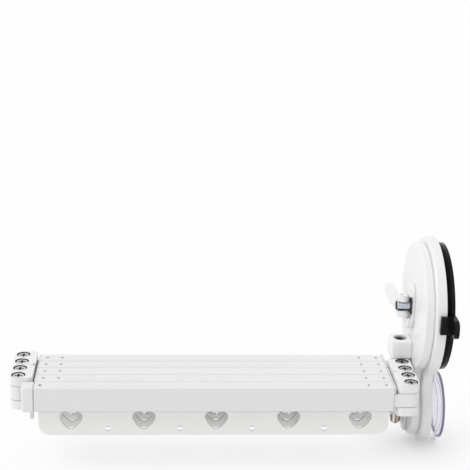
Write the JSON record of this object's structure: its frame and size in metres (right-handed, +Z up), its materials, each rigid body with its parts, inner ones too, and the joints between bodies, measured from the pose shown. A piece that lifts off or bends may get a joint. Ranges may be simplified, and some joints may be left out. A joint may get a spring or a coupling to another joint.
{
  "type": "folding shower curtain rod",
  "caption": "Folding shower curtain rod: heart-pierced rails on double-pivot hinges, folded side by side, on a lever-locked suction mount.",
  "frame": {"origin": "centre of the main suction cup on the wall plane", "axes": "+X out of the mount into the wall, along the folded rails; +Z up"},
  "size_m": [0.3852, 0.141, 0.194],
  "materials": {
    "white_rail": "white powder coat on extruded aluminium",
    "white_plastic": "moulded white plastic",
    "steel": "plated steel fasteners",
    "chrome": "polished chrome",
    "black_rubber": "smooth black rubber",
    "clear_plastic": "clear violet-tinted soft plastic",
    "black_steel": "dark finish",
    "dark_nut": "browned steel cap nut"
  },
  "bodies": {
    "mount": {"wall_plate": "white_plastic", "suction_cup": "black_rubber", "lower_cup": "clear_plastic", "swivel_bolt": "steel", "cap_nut": "dark_nut", "cap_nut_washer": "steel", "swivel_washers": "white_plastic", "thrust_plate": "black_steel"},
    "stud": {"pull_stud": "chrome", "lever_pin": "chrome"},
    "lever": {"cam_lever": "white_plastic"},
    "rail_1": {"rail_1": "white_rail", "plug_1_right": "white_plastic", "plug_pins_1": "steel", "plug_1_left": "white_plastic"},
    "rail_2": {"rail_2": "white_rail", "plug_2_right": "white_plastic", "plug_pins_2": "steel", "plug_2_left": "white_plastic"},
    "rail_3": {"rail_3": "white_rail", "plug_3_right": "white_plastic", "plug_pins_3": "steel", "plug_3_left": "white_plastic"},
    "rail_4": {"rail_4": "white_rail", "plug_4_right": "white_plastic", "plug_pins_4": "steel", "plug_4_left": "white_plastic"},
    "rail_5": {"rail_5": "white_rail", "plug_5_right": "white_plastic", "plug_pins_5": "steel", "end_block": "white_plastic", "end_screw": "black_steel", "end_stem": "steel"},
    "link_a": {"link_a_top": "white_plastic", "link_a_bottom": "white_plastic", "link_a_screws": "steel", "link_a_nuts": "steel", "link_a_washers": "white_plastic"},
    "link_b": {"link_b_top": "white_plastic", "link_b_bottom": "white_plastic", "link_b_screws": "steel", "link_b_nuts": "steel", "link_b_washers": "white_plastic"},
    "link_c": {"link_c_top": "white_plastic", "link_c_bottom": "white_plastic", "link_c_screws": "steel", "link_c_nuts": "steel", "link_c_washers": "white_plastic"},
    "link_d": {"link_d_top": "white_plastic", "link_d_bottom": "white_plastic", "link_d_screws": "steel", "link_d_nuts": "steel", "link_d_washers": "white_plastic"}
  },
  "joints": [
    {"name": "swing", "type": "hinge", "parent": "mount", "child": "rail_1", "pos_m": [-0.0351, 0, -0.062], "axis": [0, 0, 1], "range_deg": [-90, 0]},
    {"name": "hinge_a_inner", "type": "hinge", "parent": "rail_1", "child": "link_a", "pos_m": [-0.3739, 0, -0.062], "axis": [0, 0, 1], "range_deg": [-90, 0]},
    {"name": "hinge_a_outer", "type": "hinge", "parent": "link_a", "child": "rail_2", "pos_m": [-0.3739, -0.015, -0.062], "axis": [0, 0, 1], "range_deg": [-90, 0]},
    {"name": "hinge_b_inner", "type": "hinge", "parent": "rail_2", "child": "link_b", "pos_m": [-0.0351, -0.015, -0.062], "axis": [0, 0, 1], "range_deg": [0, 90]},
    {"name": "hinge_b_outer", "type": "hinge", "parent": "link_b", "child": "rail_3", "pos_m": [-0.0351, -0.03, -0.062], "axis": [0, 0, 1], "range_deg": [0, 90]},
    {"name": "hinge_c_inner", "type": "hinge", "parent": "rail_3", "child": "link_c", "pos_m": [-0.3739, -0.03, -0.062], "axis": [0, 0, 1], "range_deg": [-90, 0]},
    {"name": "hinge_c_outer", "type": "hinge", "parent": "link_c", "child": "rail_4", "pos_m": [-0.3739, -0.045, -0.062], "axis": [0, 0, 1], "range_deg": [-90, 0]},
    {"name": "hinge_d_inner", "type": "hinge", "parent": "rail_4", "child": "link_d", "pos_m": [-0.0351, -0.045, -0.062], "axis": [0, 0, 1], "range_deg": [0, 90]},
    {"name": "hinge_d_outer", "type": "hinge", "parent": "link_d", "child": "rail_5", "pos_m": [-0.0351, -0.06, -0.062], "axis": [0, 0, 1], "range_deg": [0, 90]},
    {"name": "stud_pull", "type": "slide", "parent": "mount", "child": "stud", "axis": [1, 0, 0], "range_m": [0, 0.003]},
    {"name": "lever_turn", "type": "hinge", "parent": "stud", "child": "lever", "pos_m": [-0.036, 0, 0], "axis": [0, 0, 1], "range_deg": [0, 90]}
  ],
  "couplings": [
    {"joint": "hinge_b_inner", "follows": "hinge_a_inner", "ratio": -1},
    {"joint": "hinge_b_outer", "follows": "hinge_a_outer", "ratio": -1},
    {"joint": "hinge_d_inner", "follows": "hinge_c_inner", "ratio": -1},
    {"joint": "hinge_d_outer", "follows": "hinge_c_outer", "ratio": -1},
    {"joint": "lever_turn", "follows": "stud_pull", "rad_per_m": 523.6}
  ]
}
